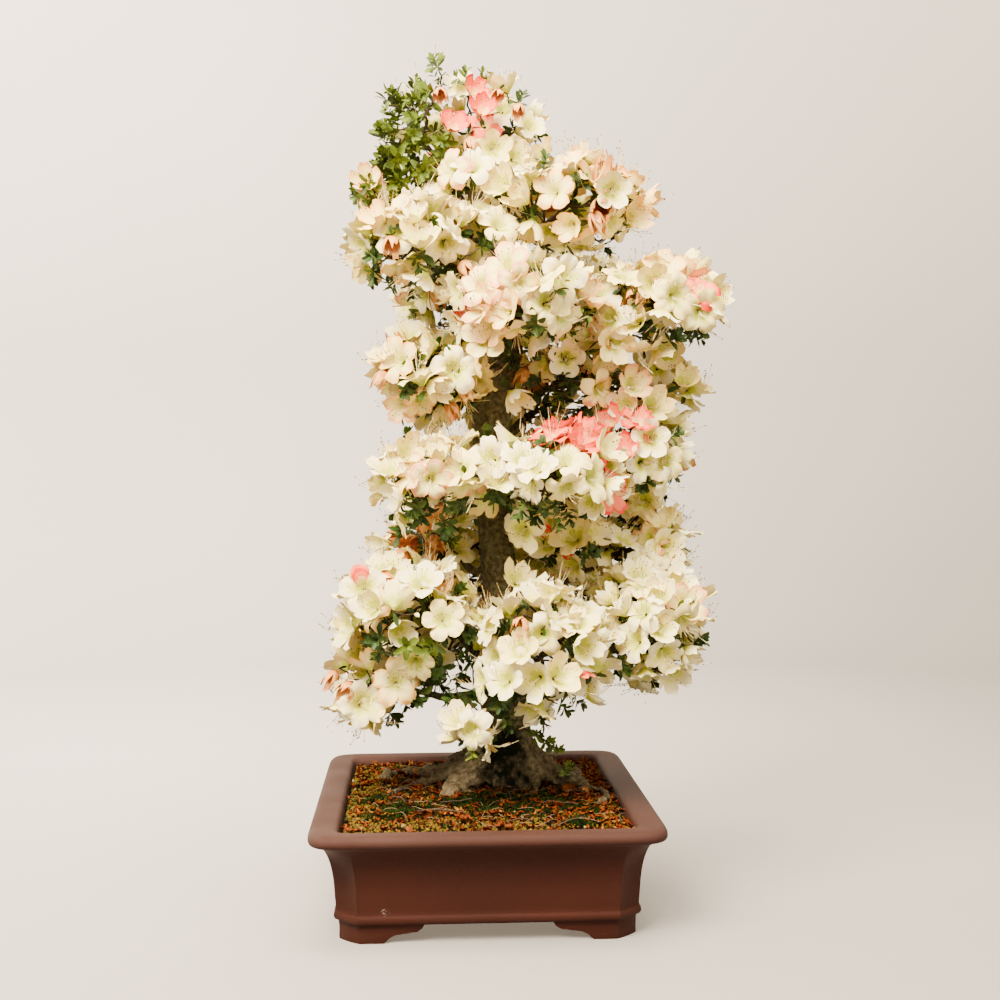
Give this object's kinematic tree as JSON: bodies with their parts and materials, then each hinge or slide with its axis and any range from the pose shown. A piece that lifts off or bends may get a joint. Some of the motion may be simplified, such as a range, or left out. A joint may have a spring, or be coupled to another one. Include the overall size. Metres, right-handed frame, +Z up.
{
  "type": "azalea bonsai",
  "caption": "Flowering azalea bonsai: a tall crown of cream and coral blossom in stacked pads on a root-flared trunk, in a footed rectangular clay pot",
  "frame": {"origin": "centre of the underside of the box round the whole plant; the pot's feet stand on z = 0", "axes": "+Z up along the trunk, X along the pot's shorter side, -Y towards the side from which the tree is shown"},
  "size_m": [0.5194, 0.4829, 1.0256],
  "materials": {
    "clay": "unglazed reddish-brown clay",
    "soil": "granular soil with moss",
    "bark": "rough grey-brown bark",
    "blossom": "soft petals over small leaves"
  },
  "bodies": {
    "root": {"back_middle_left": "blossom", "back_middle_right": "blossom", "back_skirt_left": "blossom", "back_skirt_right": "blossom", "back_upper_left": "blossom", "back_upper_right": "blossom", "back_waist": "blossom", "bough_back_middle_left": "bark", "bough_back_middle_right": "bark", "bough_back_skirt_left": "bark", "bough_back_skirt_right": "bark", "bough_back_upper_left": "bark", "bough_back_upper_right": "bark", "bough_back_waist": "bark", "bough_crown_back": "bark", "bough_crown_left": "bark", "bough_crown_right": "bark", "bough_elbow_left": "bark", "bough_inner_right": "bark", "bough_left_shelf": "bark", "bough_low_right": "bark", "bough_middle_front": "bark", "bough_middle_right": "bark", "bough_right_shelf": "bark", "bough_shoulder_left": "bark", "bough_skirt_drop": "bark", "bough_skirt_front": "bark", "bough_skirt_left": "bark", "bough_skirt_low_left": "bark", "bough_skirt_right": "bark", "bough_upper_left": "bark", "bough_upper_right": "bark", "bough_waist_front": "bark", "bough_waist_left": "bark", "bough_waist_right": "bark", "crown_back": "blossom", "crown_left": "blossom", "crown_right": "blossom", "elbow_left": "blossom", "inner_right": "blossom", "left_shelf": "blossom", "low_right": "blossom", "middle_front": "blossom", "middle_right": "blossom", "pot": "clay", "right_shelf": "blossom", "shoulder_left": "blossom", "skirt_drop": "blossom", "skirt_front": "blossom", "skirt_left": "blossom", "skirt_low_left": "blossom", "skirt_right": "blossom", "soil": "soil", "trunk": "bark", "upper_left": "blossom", "upper_right": "blossom", "waist_front": "blossom", "waist_left": "blossom", "waist_right": "blossom"}
  },
  "joints": []
}
